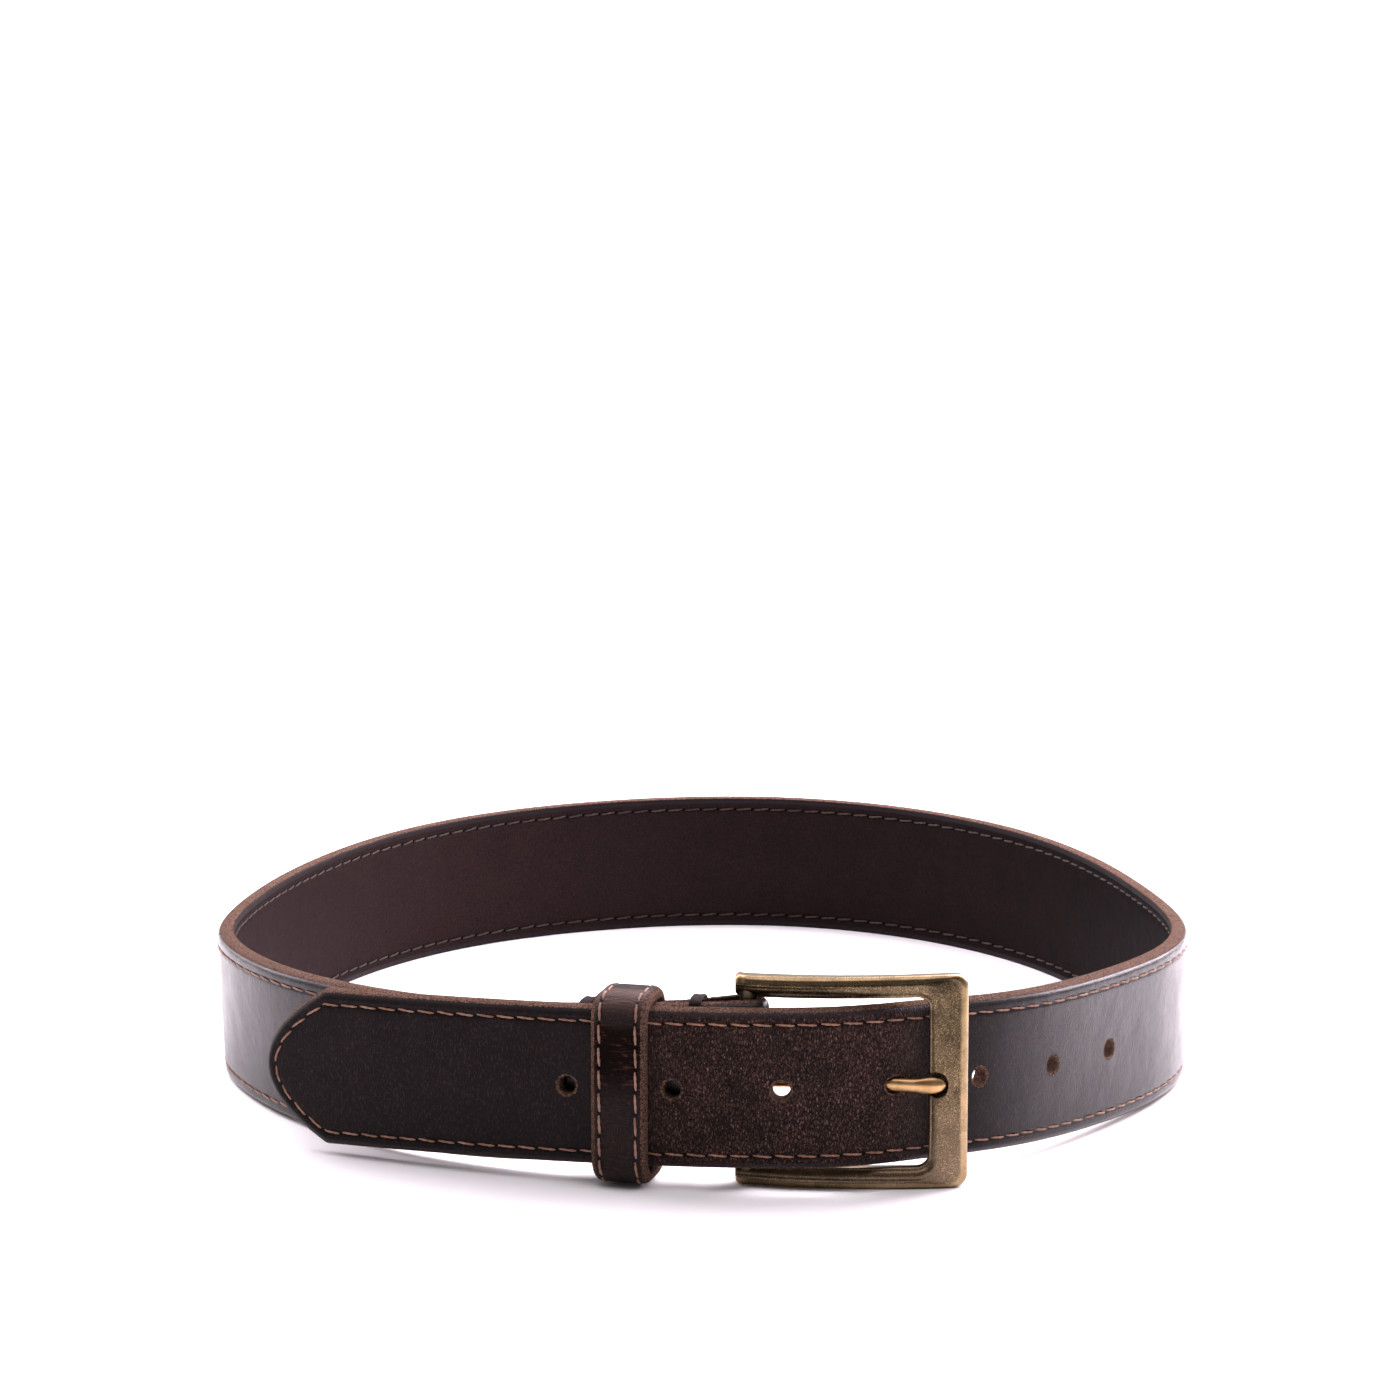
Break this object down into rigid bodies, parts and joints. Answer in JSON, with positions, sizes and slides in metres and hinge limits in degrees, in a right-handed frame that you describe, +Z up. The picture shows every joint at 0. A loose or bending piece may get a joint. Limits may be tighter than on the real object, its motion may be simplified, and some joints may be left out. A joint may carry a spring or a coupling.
{
  "type": "leather belt",
  "caption": "Fastened leather belt: stitched strap with pointed tip and punched holes, folded buckle end, sliding keeper, bowed brass buckle with separate bar and prong.",
  "frame": {"origin": "middle of the loop's outline, on the floor that the belt stands on", "axes": "+Z up across the strap's width, -Y towards the buckle, +X from the pointed tip towards the buckle's front bar"},
  "size_m": [0.2484, 0.2894, 0.0513],
  "materials": {
    "strap_leather": "satin dark brown full-grain leather",
    "keeper_leather": "satin dark brown leather",
    "thread": "waxed copper-brown thread",
    "lacing": "waxed dark brown lace",
    "antique_brass": "antiqued, satin",
    "bright_brass": "polished bronze tone",
    "steel": "plain wire"
  },
  "bodies": {
    "strap": {"strap": "strap_leather", "edge_thread_grain_side": "thread", "edge_thread_flesh_side": "thread", "fold_lacing_left": "lacing", "fold_lacing_right": "lacing"},
    "keeper": {"keeper_loop": "keeper_leather", "keeper_thread_left": "thread", "keeper_thread_right": "thread", "keeper_staple": "steel"},
    "buckle": {"buckle_frame": "antique_brass", "heel_bar": "steel"},
    "prong": {"prong": "bright_brass"}
  },
  "joints": [
    {"name": "keeper_slide", "type": "slide", "parent": "strap", "child": "keeper", "axis": [0.9605, -0.2754, 0.04], "range_m": [-0.0019, 0.0058]},
    {"name": "buckle_hinge", "type": "hinge", "parent": "strap", "child": "buckle", "pos_m": [0.0107, -0.13365, 0.0252], "axis": [0, 0, 1], "range_deg": [0, 2.4]},
    {"name": "prong_hinge", "type": "hinge", "parent": "strap", "child": "prong", "pos_m": [0.0107, -0.13365, 0.0252], "axis": [0, 0, 1], "range_deg": [-0.7, 0.5]}
  ]
}
